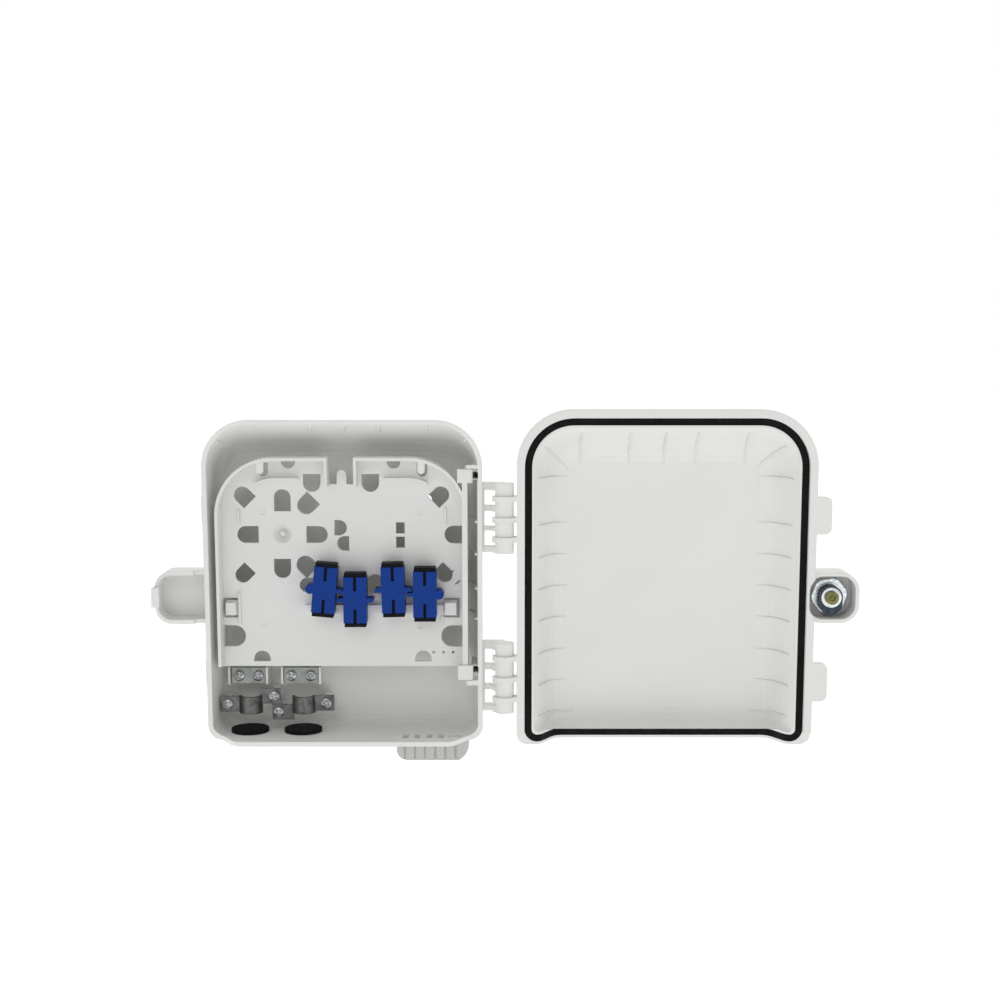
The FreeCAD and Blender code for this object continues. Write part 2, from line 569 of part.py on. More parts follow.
# ---------------------------------------------------------------- cam lock
def build_lock():
    """Quarter-turn cam lock: body and nut clamp the lug, the plug turns the cam."""
    bezel = rod("bezel", "10", "lock_x", ("lug_floor_back", "lug_floor_back + 2.2"), "lock_z", "Y")
    thread = rod("thread", "7.5", "lock_x", (-24, "lug_floor_back"), "lock_z", "Y")
    bore = rod("plug_bore", "5.05", "lock_x", (-40, 0), "lock_z", "Y")
    label(cut("barrel", fuse("barrel_blank", [bezel, thread]), [bore]), "lock_barrel")

    hexagon = doc.addObject("Part::Prism", "nut_blank")
    hexagon.Polygon = 6
    hexagon.Circumradius = 10.7
    hexagon.Height = 5
    hexagon.Placement = FreeCAD.Placement(Vector(), FACING_FRONT * Rotation(Vector(0, 0, 1), 9))
    bind(hexagon, "Placement.Base.x", "lock_x")
    bind(hexagon, "Placement.Base.y", "lug_floor_front")
    bind(hexagon, "Placement.Base.z", "lock_z")
    chamfer = cone("nut_chamfer", "13", "9.2", "lock_x", ("lug_floor_front", "lug_floor_front - 6"),
                   "lock_z")
    tapped = rod("nut_bore", "7.5", "lock_x", (-40, 0), "lock_z", "Y")
    label(cut("nut", common("nut_round", [hexagon, chamfer]), [tapped]), "lock_nut")

    core = rod("plug_core", "5", "lock_x", ("cam_back", "lug_floor_back + 2.6"), "lock_z", "Y")
    key = box("key_slot", ("lock_x - 0.7", "lock_x + 0.7"), ("lug_floor_back - 6", 0),
              ("lock_z - 3", "lock_z + 3"))
    tap = rod("plug_tap", "1.5", "lock_x", (-30, -19), "lock_z", "Y")
    label(cut("plug", core, [key, tap]), "lock_plug")

    thick = ("cam_front", "cam_back")
    eye = rod("cam_eye", "cam_width / 2", "lock_x", thick, "lock_z", "Y")
    tip = rod("cam_tip", "cam_width / 2", "lock_x", thick, "lock_z - cam_reach", "Y")
    arm = box("cam_arm", ("lock_x - cam_width / 2", "lock_x + cam_width / 2"), thick,
              ("lock_z - cam_reach", "lock_z"))
    hole = rod("cam_hole", "1.6", "lock_x", (-40, -20), "lock_z", "Y")
    label(cut("cam", fuse("cam_blank", [eye, arm, tip]), [hole]), "lock_cam")

    ring = rod("washer_blank", "5.6", "lock_x", ("cam_front - 0.7", "cam_front"), "lock_z", "Y")
    ring_hole = rod("washer_hole", "1.6", "lock_x", (-40, -20), "lock_z", "Y")
    label(cut("washer", ring, [ring_hole]), "lock_cam_washer")

    seat = "cam_front - 0.7"
    head = rod("cam_screw_head", "3.7", "lock_x", (f"{seat} - 2.2", seat), "lock_z", "Y")
    shank = rod("cam_screw_shank", "1.5", "lock_x", (seat, -20), "lock_z", "Y")
    recess = rod("cam_screw_recess", "1.7", "lock_x", (-34, f"{seat} - 1.1"), "lock_z", "Y")
    label(cut("cam_screw", fuse("cam_screw_blank", [head, shank]), [recess]), "lock_cam_screw")


build_lock()


# ---------------------------------------------------------------- splice tray
# Openings in the tray floor: X, Z, width, length and the direction of the round end in degrees.
FLOOR_OPENINGS = [
    (-30.6, 64.4, 7.6, 5.4, 270), (27.5, 64.4, 7.6, 5.4, 270), (-17.7, 53.7, 9.6, 9.8, 270),
    (14.6, 53.7, 9.6, 9.8, 270), (-55.8, 46.6, 9.4, 10.4, 135), (53.0, 46.7, 9.4, 10.4, 45),
    (-34.2, 44.1, 9.2, 12.2, 90), (-53.6, 25.0, 9.4, 11.8, 180), (-15.3, 25.0, 9.4, 11.8, 0),
    (-34.8, 6.0, 9.4, 10.8, 270), (-20.7, 41.6, 10.0, 10.8, 225), (-21.7, 7.8, 10.0, 10.8, 135),
    (-56.4, 2.8, 8.6, 10.0, 225), (-2.2, 28.8, 8.4, 6.8, 0), (-0.9, 20.0, 8.2, 6.6, 180),
    (60.6, 25.0, 9.8, 10.4, 180), (54.9, 3.0, 8.6, 10.0, 315), (-62.2, -32.1, 12.0, 12.0, 0),
    (59.5, -32.2, 12.0, 12.5, 180), (-47.2, -43.6, 9.2, 6.0, 90), (43.1, -43.6, 9.2, 6.0, 90),
    (-44.7, 61.0, 5.8, 7.6, 270), (43.2, 61.0, 5.8, 7.6, 270), (16.5, -2.8, 9.0, 11.0, 90),
    (-20.9, -3.3, 8.0, 9.0, 180), (59.2, 3.8, 0.9, 3.4, 45), (62.7, -1.8, 0.9, 3.4, 35)]


def opening(index, x, z, wide, long, angle):
    """A slot with one square end and one round end, centred on X, Z and turned by angle."""
    deep = ("tray_floor_front - 1", "tray_floor_back + 1")
    straight = long - wide / 2
    bar = box(f"opening_bar_{index}", (-long / 2, -long / 2 + straight), deep, (-wide / 2, wide / 2))
    end = rod(f"opening_end_{index}", wide / 2, -long / 2 + straight, deep, 0, "Y")
    keep = box(f"opening_keep_{index}", (-long / 2, long), deep, (-wide, wide))
    whole = fuse(f"opening_{index}", [bar, common(f"opening_round_{index}", [end, keep])])
    whole.Placement = FreeCAD.Placement(Vector(x, 0, z), Rotation(Vector(0, 1, 0), -angle))
    return whole


def tray_outline(name, plane, inset):
    """The tray's outline, moved in by inset. Its lower end runs on below the tray."""
    return rounded(name, plane, f"tray_left + {inset}", f"tray_right - ( {inset} )", "tray_bottom - 30",
                   f"tray_top - ( {inset} )", f"tray_corner - ( {inset} )", "6")


def tray_features():
    """Fibre guides, retaining tabs, low ridges, latch pads, a tongue and the coil hub."""
    front = "tray_floor_front + 0.2"
    guide = cut("guide_ring", prism("guide_out", tray_outline("guide_out_line", front, "guide_inset"),
                                    "5.2"),
                [prism("guide_in", tray_outline("guide_in_line", "0", "guide_inset + 1.2"), "60")])
    zones = [box("guide_zone_left", (-48.9, -24.9), (-40, -10), (48, 60)),
             box("guide_zone_right", (22, 46.1), (-40, -10), (48, 60))]
    parts = [common("guide_arcs", [guide, fuse("guide_zones", zones)])]
    for side, x in (("left", -44.7), ("right", 43.2)):
        deep = ("tray_front + 0.4", "tray_front + 1.8")
        parts.append(box(f"retainer_{side}", (x - 1.95, x + 1.95), deep, (61.5, 67)))
        parts.append(rod(f"retainer_end_{side}", 1.95, x, deep, 61.5, "Y"))
    for i, (x, low, high) in enumerate(((-58.4, 31.1, 38.8), (-59.0, -25.1, -7.6), (55.8, 31, 40),
                                        (53.8, -25, -20.8))):
        parts.append(box(f"ridge_{i}", (x - 0.65, x + 0.65), ("tray_floor_front - 1.5", front),
                         (low, high)))
    for i, pad in enumerate(((-66.2, -60.7), (55.4, 61.8))):
        parts.append(box(f"latch_pad_{i}", pad, ("tray_floor_front - 5", front), (-19.6, -12.6)))
    flat = ("tray_floor_front", "tray_floor_back")
    parts.append(box("tongue", (-4.0, 1.4), flat, (51, 58.2)))
    parts.append(rod("tongue_end", 2.7, -1.3, flat, 58.2, "Y"))
    parts.append(rod("hub_boss", 6.2, "hub_x", ("tray_floor_front + 0.5", "tray_floor_back + 2.9"),
                     "hub_z", "Y"))
    return parts


def tray_marks():
    """The hub's conical recess, drawn around its pin, and four shallow ejector marks."""
    recess = cone("hub_recess", "2.0", "5.4", "hub_x",
                  ("tray_floor_back + 2.2", "tray_floor_front - 0.1"), "hub_z")
    pin = rod("hub_pin", "1.3", "hub_x", ("tray_floor_front + 0.3", "0"), "hub_z", "Y")
    marks = [rod(f"ejector_mark_{i}", 1.5, x, ("tray_floor_front - 1", "tray_floor_front + 0.25"), z,
                 "Y")
             for i, (x, z) in enumerate(((-45.5, 37.6), (41.6, 37.6), (-45.6, -25.4), (41.3, -26.5)))]
    return [cut("hub_funnel", recess, [pin])] + marks


def latch_slots():
    """C-shaped slots that free the two side latches of the tray."""
    made = []
    for i, (frame_x, tongue_x) in enumerate((((-67.9, -60.2), (-66.5, -59.2)),
                                             ((54.9, 63.6), (53.9, 62.2)))):
        frame = box(f"latch_frame_{i}", frame_x, (-30, -10), (-21.6, -10.6))
        tongue = box(f"latch_tongue_{i}", tongue_x, (-31, -9), (-20.2, -12.0))
        made.append(cut(f"latch_slot_{i}", frame, [tongue]))
    return made


def build_tray():
    depth = "tray_floor_back - tray_front"
    blank = prism("tray_blank", tray_outline("tray_line", "tray_floor_back", "0"), depth)
    hollow = prism("tray_hollow", tray_outline("tray_hollow_line", "tray_floor_front", "tray_wall"),
                   "40")
    below = box("tray_below", (-90, 90), (-60, 0), (-120, "tray_bottom"))
    notch = box("tray_notch", (-8.2, 6.2), (-60, 0), ("tray_top - 15.4", 90))
    pan = cut("tray_pan", blank, [hollow, below])
    cheeks = [box("notch_cheek_left", (-9.8, -8.1), ("tray_front", "tray_floor_back"),
                  ("tray_top - 16", "tray_top - 0.6")),
              box("notch_cheek_right", (6.1, 7.8), ("tray_front", "tray_floor_back"),
                  ("tray_top - 16", "tray_top - 0.6"))]
    ears, ear_holes = [], []
    for i, (low, high) in enumerate(EARS):
        ears.append(box(f"ear_tab_{i}", (62.8, "tray_axis_x"), ("tray_axis_y - 2", "tray_axis_y + 2"),
                        (low, high)))
        ears.append(rod(f"ear_knuckle_{i}", "2.1", "tray_axis_x", "tray_axis_y", (low, high)))
        ear_holes.append(rod(f"ear_bore_{i}", "1.15", "tray_axis_x", "tray_axis_y",
                             (low - 1, high + 1)))
    side = box("tray_side_wall", ("tray_right - tray_side", "tray_right"),
               ("tray_front", "tray_floor_back"),
               ("tray_bottom", "61.6"))
    lower_post = box("ear_post", (64.4, "tray_right"), ("tray_axis_y - 2", "tray_floor_back"),
                     ("tray_bottom - 5.3", "tray_bottom + 1"))
    body = fuse("tray_body", [pan] + cheeks + ears + [lower_post, side])
    corner = box("tray_corner_notch", ("tray_left - 1", "tray_left + tray_wall + 0.1"),
                 (-40, "tray_floor_front - 1"), ("tray_bottom - 1", "tray_bottom + 1.8"))
    holes = [opening(i, *row) for i, row in enumerate(FLOOR_OPENINGS)]
    for i, z in enumerate((28.7, 20.7)):
        holes.append(box(f"square_hole_{i}", (28.5, 33.3), (-30, -10), (z - 3.1, z + 3.1)))
    for i, x in enumerate((48.9, 54.4, 59.8)):
        holes.append(rod(f"floor_dot_{i}", "0.8", x, (-30, -10), -41.4, "Y"))
    pierced = cut("tray_pierced", body, holes + latch_slots() + ear_holes + [notch, corner])
    label(cut("tray", fuse("tray_fitted", [pierced] + tray_features()), tray_marks()), "splice_tray")


build_tray()


# ---------------------------------------------------------------- adapters and rack
# Four adapters: centre X, centre Z and lean in degrees.
ADAPTERS = [(-10.6, -4.5, 5.0), (6.2, -10.1, 0.0), (27.2, -4.5, -1.5), (44.7, -7.0, 0.0)]


def build_rack():
    bar = box("rack_bar", (-22.4, 54.8), ("rack_front", "tray_floor_front"), (-19.0, -14.2))
    pads = [box(f"rack_pad_{i}", (x - 4, x + 4), ("rack_front", "tray_floor_front"), (-15, z + 8.5))
            for i, (x, z, lean) in enumerate(ADAPTERS)]
    label(fuse("rack", [bar] + pads), "adapter_rack")


def build_adapter(index, x, z, lean):
    """One push-pull adapter, its ceramic alignment sleeve and a dust cap in each end."""
    name = f"adapter_{index}"
    half = "adapter_length / 2"
    mid = "0 - adapter_height / 2"
    tall = ("0 - adapter_height", "0")
    block = box(f"{name}_block", ("0 - adapter_width / 2", "adapter_width / 2"), tall,
                (f"0 - {half}", half))
    flange = box(f"{name}_flange", (-9.2, 9.2), tall, (-1.1, 1.1))
    lobes = []
    for side, edge, last in (("left", -9.2, 1), ("right", 9.2, len(ADAPTERS))):
        radius, centre = (2.6, edge * 0.86) if index == last else (1.1, edge)
        lobes.append(rod(f"{name}_lobe_{side}", radius, centre, tall, 0, "Y"))
    hollows = []
    for end, low, high in (("top", "2.4", f"{half} + 1"), ("low", f"0 - {half} - 1", "-2.4")):
        hollows.append(box(f"{name}_port_{end}", (-4.9, 4.9), ("0 - adapter_height + 1.1", "-1.1"),
                           (low, high)))
        key = (f"{half} - 7.6", f"{half} + 1") if end == "top" else (f"0 - {half} - 1",
                                                                     f"7.6 - {half}")
        hollows.append(box(f"{name}_key_{end}", (-0.8, 0.8),
                           ("0 - adapter_height - 1", "0 - adapter_height + 2"), key))
    bore = rod(f"{name}_bore", "1.6", 0, mid, (-3, 3))
    body = cut(f"{name}_body", fuse(f"{name}_blank", [block, flange] + lobes), hollows + [bore])
    sleeve = cut(f"{name}_sleeve_cut", rod(f"{name}_sleeve", "1.6", 0, mid, (-4, 4)),
                 [rod(f"{name}_sleeve_bore", "1.25", 0, mid, (-6, 6))])
    pieces = [(body, name), (sleeve, f"alignment_sleeve_{index}")]
    for end, way in (("top", 1), ("low", -1)):
        low, high = (f"{half}", f"{half} + 2.2")
        inner = (f"{half} - 7.5", half)
        if way < 0:
            low, high = (f"0 - {half} - 2.2", f"0 - {half}")
            inner = (f"0 - {half}", f"7.5 - {half}")
        head = box(f"{name}_cap_head_{end}", (-5.9, 5.9), ("0 - adapter_height + 0.4", "-0.4"),
                   (low, high))
        stem = box(f"{name}_cap_stem_{end}", (-4.8, 4.8), ("0 - adapter_height + 1.2", "-1.2"), inner)
        pieces.append((fuse(f"{name}_cap_{end}", [head, stem]),
                       f"dust_cap_{index}_{'upper' if way > 0 else 'lower'}"))
    for piece, node in pieces:
        piece.Placement = FreeCAD.Placement(Vector(x, 0, z), Rotation(Vector(0, 1, 0), lean))
        bind(piece, "Placement.Base.y", "rack_front")
        label(piece, node)


build_rack()
for number_on_rack, (spot_x, spot_z, spot_lean) in enumerate(ADAPTERS, start=1):
    build_adapter(number_on_rack, spot_x, spot_z, spot_lean)


# ---------------------------------------------------------------- cable fixing
def build_clamp(node, x, low_ear, high_ear):
    """A saddle over one cable: an arch with an ear each side, in one bent strip."""
    back = "clamp_front + clamp_plate"
    arch = rod(f"{node}_arch", "6.6", x, back, ("clamp_z - 4.9", "clamp_z + 4.9"))
    half = box(f"{node}_half", (f"{x} - 8", f"{x} + 8"), (-40, back), ("clamp_z - 10", "clamp_z + 10"))
    blanks = [common(f"{node}_bridge", [arch, half])]
    holes = [rod(f"{node}_tunnel", "5.1", x, back, ("clamp_z - 20", "clamp_z + 20"))]
    for i, (screw_x, screw_z) in enumerate((low_ear, high_ear)):
        side = -1 if i == 0 else 1
        inner = f"{x} + {side} * 5.6"
        pair = (str(screw_x - 4.4), inner) if side < 0 else (inner, str(screw_x + 4.4))
        if abs(screw_z - SIZES["clamp_z"]) > 3:
            pair = (inner, str(screw_x + 3.6)) if side > 0 else (str(screw_x - 3.6), inner)
        blanks.append(box(f"{node}_ear_{i}", pair, ("clamp_front", back),
                          (screw_z - 4.4, screw_z + 4.4)))
        holes.append(rod(f"{node}_hole_{i}", "screw_shank", screw_x, (-40, 0), screw_z, "Y"))
    label(cut(f"{node}_cut", fuse(f"{node}_blank", blanks), holes), node)


def build_screws(node, places, front, long):
    """Identical pan-head screws, kept as one group of separate solids."""
    screws = []
    for i, (x, z) in enumerate(places):
        head = rod(f"{node}_head_{i}", "screw_head", x, (f"{front} - 2", front), z, "Y")
        shank = rod(f"{node}_shank_{i}", "screw_shank", x, (f"{front} - 0.5", f"{front} + {long}"), z,
                    "Y")
        slots = [box(f"{node}_cross_a_{i}", (x - 1.7, x + 1.7), (f"{front} - 3", f"{front} - 1"),
                     (z - 0.35, z + 0.35)),
                 box(f"{node}_cross_b_{i}", (x - 0.35, x + 0.35), (f"{front} - 3", f"{front} - 1"),
                     (z - 1.7, z + 1.7))]
        screws.append(cut(f"{node}_{i}", fuse(f"{node}_blank_{i}", [head, shank]), slots))
    group = doc.addObject("Part::Compound", node)
    group.Links = screws
    label(group, node)


def build_plate(node, low, high):
    plate = box(f"{node}_plate", (low[0] - 4.2, high[0] + 4.2), ("plate_front", "plate_front + 1.5"),
                ("plate_z - 4.6", "plate_z + 4.6"))
    holes = [rod(f"{node}_hole_{i}", "screw_shank", x, (-30, 0), z, "Y") for i,
             (x, z) in enumerate((low, high))]
    label(cut(f"{node}_cut", plate, holes), node)


def build_seal(node, x):
    """Rubber entry seal, buttoned into the bottom wall, with a blind mouth for the cable."""
    neck = rod(f"{node}_neck", "seal_radius - 1.7", x, "entry_y",
               ("base_bottom - 1", "base_bottom + base_wall + 1"))
    inside = rod(f"{node}_inside", "seal_radius", x, "entry_y",
                 ("base_bottom + base_wall", "base_bottom + base_wall + 2"))
    outside = rod(f"{node}_outside", "seal_radius", x, "entry_y", ("base_bottom - 2.2", "base_bottom"))
    mouth = rod(f"{node}_mouth", "5.2", x, "entry_y", ("base_bottom - 4", "base_bottom + base_wall"))
    label(cut(f"{node}_cut", fuse(f"{node}_blank", [neck, inside, outside]), [mouth]), node)


def build_port_block():
    """Ribbed block under the bottom wall, with a mouth for each drop cable."""
    body = rounded("port_line", -24.5, 29.0, 68.6, "base_bottom - 9.5", "base_bottom", "0.6", "6")
    depth = prism("port_depth", body, "17.5")
    corner = flat_polygon("port_corner_line", "base_bottom - 20", [
        (63.2, -42.5), (65.4, -38.6), (67.9, -34.6), (69.5, -33.2), (69.5, -42.5)])
    block = cut("port_block_blank", depth, [prism("port_corner", corner, "30")])
    mouths = []
    for i, (x, wide) in enumerate(PORT_SLOTS):
        deep = (-40, -32) if wide < 5 else (-37.5, -34.5)
        mouths.append(box(f"port_mouth_{i}", (x - wide / 2, x + wide / 2), deep,
                          ("base_bottom - 20", "base_bottom + 1")))
    ribs = [box(f"port_groove_{i}", (33.0 + 5.6 * i, 34.0 + 5.6 * i), (-50, -41.4),
                ("base_bottom - 20", "base_bottom - 1.2"))
            for i in range(6)]
    label(cut("port_block", block, mouths + ribs), "drop_port_block")


build_clamp("cable_clamp_left", "entry_left", CLAMP_SCREWS[0], CLAMP_SCREWS[1])
build_clamp("cable_clamp_right", "entry_right", CLAMP_SCREWS[2], CLAMP_SCREWS[3])
build_screws("clamp_screws", CLAMP_SCREWS, "clamp_front", 9)
build_plate("strength_plate_left", PLATE_SCREWS[0], PLATE_SCREWS[1])
build_plate("strength_plate_right", PLATE_SCREWS[2], PLATE_SCREWS[3])
build_screws("strength_plate_screws", PLATE_SCREWS, "plate_front", 7)
build_seal("entry_seal_left", "entry_left")
build_seal("entry_seal_right", "entry_right")
build_port_block()


# ---------------------------------------------------------------- write the files
def write_parts():
    doc.recompute()
    for item in doc.Objects:
        if "Invalid" in item.State or "Error" in item.State:
            raise RuntimeError(f"{item.Name} failed: {item.State}")
    os.makedirs("parts", exist_ok=True)
    for item in nodes:
        shape = item.Shape
        if shape.isNull() or not shape.isValid():
            raise RuntimeError(f"{item.Label} has no valid shape")
        shape.exportStep(f"parts/{item.Label}.step")
        print(f"{item.Label}: {len(shape.Solids)} solids, {shape.Volume / 1000:.2f} cm3")


write_parts()
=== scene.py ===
"""Looks of the fiber termination box: materials, pan-head screws, floor, light and camera."""

import json
import math

import bpy
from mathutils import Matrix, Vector


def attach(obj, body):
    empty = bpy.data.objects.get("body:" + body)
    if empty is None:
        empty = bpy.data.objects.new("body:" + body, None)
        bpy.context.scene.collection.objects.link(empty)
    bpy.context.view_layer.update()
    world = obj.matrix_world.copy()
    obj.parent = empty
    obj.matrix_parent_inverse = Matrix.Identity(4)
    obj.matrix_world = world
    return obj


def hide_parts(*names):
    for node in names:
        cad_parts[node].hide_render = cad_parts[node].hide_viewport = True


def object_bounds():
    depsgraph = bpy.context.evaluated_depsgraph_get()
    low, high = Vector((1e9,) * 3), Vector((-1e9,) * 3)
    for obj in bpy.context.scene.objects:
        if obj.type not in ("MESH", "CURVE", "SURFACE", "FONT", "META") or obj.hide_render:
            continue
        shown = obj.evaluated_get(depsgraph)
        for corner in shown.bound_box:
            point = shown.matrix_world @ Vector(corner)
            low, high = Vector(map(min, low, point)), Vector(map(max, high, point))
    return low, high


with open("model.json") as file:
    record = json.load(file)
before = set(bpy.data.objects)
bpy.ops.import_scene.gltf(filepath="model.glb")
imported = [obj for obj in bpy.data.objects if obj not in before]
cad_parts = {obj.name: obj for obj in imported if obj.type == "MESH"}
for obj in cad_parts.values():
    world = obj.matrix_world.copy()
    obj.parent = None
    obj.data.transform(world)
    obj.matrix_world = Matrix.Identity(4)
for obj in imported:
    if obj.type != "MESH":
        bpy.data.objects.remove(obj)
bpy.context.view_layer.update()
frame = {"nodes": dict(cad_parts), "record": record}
nodes = frame["nodes"]


# ---------------------------------------------------------------- material helpers


def linear(red, green, blue):
    """An sRGB colour, 0 to 255, as linear RGBA."""

    def channel(value):
        value = value / 255
        if value <= 0.04045:
            return value / 12.92
        return ((value + 0.055) / 1.055) ** 2.4

    return (channel(red), channel(green), channel(blue), 1)


def shade(colour, factor):
    """A linear colour made lighter or darker."""
    return tuple(min(1, part * factor) for part in colour[:3]) + (1,)


class Nodes:
    """A node tree with a Principled shader and short calls for the nodes that feed it."""

    def __init__(self, name):
        self.material = bpy.data.materials.new(name)
        self.material.use_nodes = True
        self.tree = self.material.node_tree
        self.shader = self.tree.nodes["Principled BSDF"]
        self.place = self.add("ShaderNodeTexCoord").outputs["Object"]

    def add(self, kind, **values):
        node = self.tree.nodes.new(kind)
        for key, value in values.items():
            setattr(node, key, value)
        return node

    def link(self, source, target):
        self.tree.links.new(source, target)

    def noise(self, per_metre, detail=3, stretch=(1, 1, 1), distortion=0):
        """Noise whose cells are about 1/per_metre in size, stretched along the axes."""
        mapping = self.add("ShaderNodeMapping")
        mapping.inputs["Scale"].default_value = stretch
        self.link(self.place, mapping.inputs["Vector"])
        texture = self.add("ShaderNodeTexNoise")
        texture.inputs["Scale"].default_value = per_metre
        texture.inputs["Detail"].default_value = detail
        texture.inputs["Distortion"].default_value = distortion
        self.link(mapping.outputs["Vector"], texture.inputs["Vector"])
        return texture.outputs["Fac"]

    def cells(self, per_metre):
        """The distance to the nearest point of a random pattern."""
        texture = self.add("ShaderNodeTexVoronoi")
        texture.inputs["Scale"].default_value = per_metre
        self.link(self.place, texture.inputs["Vector"])
        return texture.outputs["Distance"]

    def ramp(self, source, low, high, dark, light):
        """Colours from dark to light as source goes from low to high."""
        ramp = self.add("ShaderNodeValToRGB")
        ramp.color_ramp.elements[0].position = low
        ramp.color_ramp.elements[0].color = dark
        ramp.color_ramp.elements[1].position = high
        ramp.color_ramp.elements[1].color = light
        self.link(source, ramp.inputs["Fac"])
        return ramp.outputs["Color"]

    def spread(self, source, low, high):
        """Source, about 0.3 to 0.7, mapped to low to high."""
        node = self.add("ShaderNodeMapRange")
        node.inputs["From Min"].default_value = 0.3
        node.inputs["From Max"].default_value = 0.7
        node.inputs["To Min"].default_value = low
        node.inputs["To Max"].default_value = high
        self.link(source, node.inputs["Value"])
        return node.outputs["Result"]

    def mix(self, factor, first, second, blend="MIX"):
        node = self.add("ShaderNodeMix", data_type="RGBA", blend_type=blend)
        for value, socket in ((factor, 0), (first, 6), (second, 7)):
            if isinstance(value, bpy.types.NodeSocket):
                self.link(value, node.inputs[socket])
            else:
                node.inputs[socket].default_value = value
        return node.outputs[2]

    def bump(self, source, distance, strength=1, under=None):
        """Source as relief this high, on top of an earlier normal."""
        node = self.add("ShaderNodeBump")
        node.inputs["Distance"].default_value = distance
        node.inputs["Strength"].default_value = strength
        self.link(source, node.inputs["Height"])
        if under:
            self.link(under, node.inputs["Normal"])
        return node.outputs["Normal"]

    def round_edges(self, radius):
        """The normal of edges rounded to this radius."""
        node = self.add("ShaderNodeBevel")
        node.samples = 4
        node.inputs["Radius"].default_value = radius
        return node.outputs["Normal"]

    def colour(self, source):
        self.link(source, self.shader.inputs["Base Color"])

    def roughness(self, source):
        self.link(source, self.shader.inputs["Roughness"])

    def normal(self, source):
        self.link(source, self.shader.inputs["Normal"])

    def set(self, **values):
        for key, value in values.items():
            self.shader.inputs[key.replace("_", " ")].default_value = value


def moulded_plastic(name, colour, rough=0.42, grain=0.000012, edge=0.0004, tint=0.97, gloss=0.5):
    """Injection-moulded plastic: fine eroded texture, faint flow marks, softened edges."""
    made = Nodes(name)
    flow = made.noise(14, detail=4, distortion=0.6)
    specks = made.noise(2600, detail=2)
    base = made.ramp(flow, 0.3, 0.72, shade(colour, tint), shade(colour, 1.02))
    grey = made.ramp(specks, 0.3, 0.7, (0, 0, 0, 1), (1, 1, 1, 1))
    made.colour(made.mix(0.06, base, grey, "SOFT_LIGHT"))
    made.roughness(made.spread(made.noise(160, detail=5), rough - 0.06, rough + 0.08))
    rounded = made.round_edges(edge)
    waves = made.bump(made.noise(45, detail=2), 0.00006, under=rounded)
    made.normal(made.bump(made.noise(3200, detail=3), grain, under=waves))
    made.set(IOR=1.5, Specular_IOR_Level=gloss)
    return made.material


def rubber(name, colour):
    """Black rubber: matt, faintly dusty, with a fine pitted skin."""
    made = Nodes(name)
    dust = made.noise(60, detail=5, distortion=0.8)
    made.colour(made.ramp(dust, 0.35, 0.75, colour, shade(colour, 1.8)))
    made.roughness(made.spread(made.noise(400, detail=3), 0.6, 0.85))
    made.normal(made.bump(made.cells(2200), 0.00003, under=made.round_edges(0.0003)))
    made.set(Specular_IOR_Level=0.22)
    return made.material


def metal(name, colour, rough, brushed=(1, 1, 1), pits=0.00001, dirt=0.6):
    """Plated or cast metal: uneven gloss, fine scratches along one way, darker marks."""
    made = Nodes(name)
    marks = made.noise(180, detail=5, distortion=1.0)
    made.colour(made.ramp(marks, 0.32, 0.6, shade(colour, dirt), colour))
    scratches = made.noise(1500, detail=4, stretch=brushed)
    made.roughness(made.spread(scratches, rough - 0.08, rough + 0.14))
    pitting = made.noise(1800, detail=3, stretch=brushed)
    made.normal(made.bump(pitting, pits, under=made.round_edges(0.0002)))
    made.set(Metallic=1.0)
    return made.material


MATERIALS = {
    "housing": moulded_plastic("housing_plastic", linear(237, 237, 234), gloss=0.25),
    "tray": moulded_plastic("tray_plastic", linear(232, 232, 230), rough=0.5, gloss=0.25),
    "rack": moulded_plastic("rack_plastic", linear(240, 240, 238), rough=0.4),
    "port_plastic": moulded_plastic("port_plastic", linear(194, 195, 192), rough=0.5, gloss=0.25),
    "gasket_rubber": rubber("gasket_rubber", linear(5, 5, 6)),
    "seal_rubber": rubber("seal_rubber", linear(4, 5, 6)),
    "adapter_blue": moulded_plastic("adapter_plastic", linear(3, 56, 142), rough=0.4, tint=0.85,
                                    gloss=0.18),
    "cap_black": moulded_plastic("cap_plastic", linear(8, 12, 19), rough=0.6, tint=0.8, gloss=0.15),
    "sleeve_ceramic": moulded_plastic("sleeve_ceramic", linear(200, 198, 190), rough=0.3,
                                      grain=0.000002),
    "clamp_zinc": metal("clamp_zinc", linear(122, 123, 121), 0.42, pits=0.00003, dirt=0.5),
    "plate_zinc": metal("plate_zinc", linear(158, 163, 158), 0.4, brushed=(1, 1, 0.1), dirt=0.7),
    "screw_steel": metal("screw_steel", linear(192, 194, 195), 0.28, dirt=0.7),
    "lock_zinc": metal("lock_zinc", linear(212, 218, 220), 0.2, dirt=0.7),
    "cam_steel": metal("cam_steel", linear(62, 69, 80), 0.26, brushed=(1, 1, 0.1), dirt=0.7),
    "cam_screw_brass": metal("cam_screw_brass", linear(134, 133, 86), 0.34, dirt=0.4),
}

for row in frame["record"]["subparts"]:
    piece = nodes[row["node"]]
    piece.data.materials.clear()
    piece.data.materials.append(MATERIALS[row["material_slot"]])


# ---------------------------------------------------------------- pan-head screws


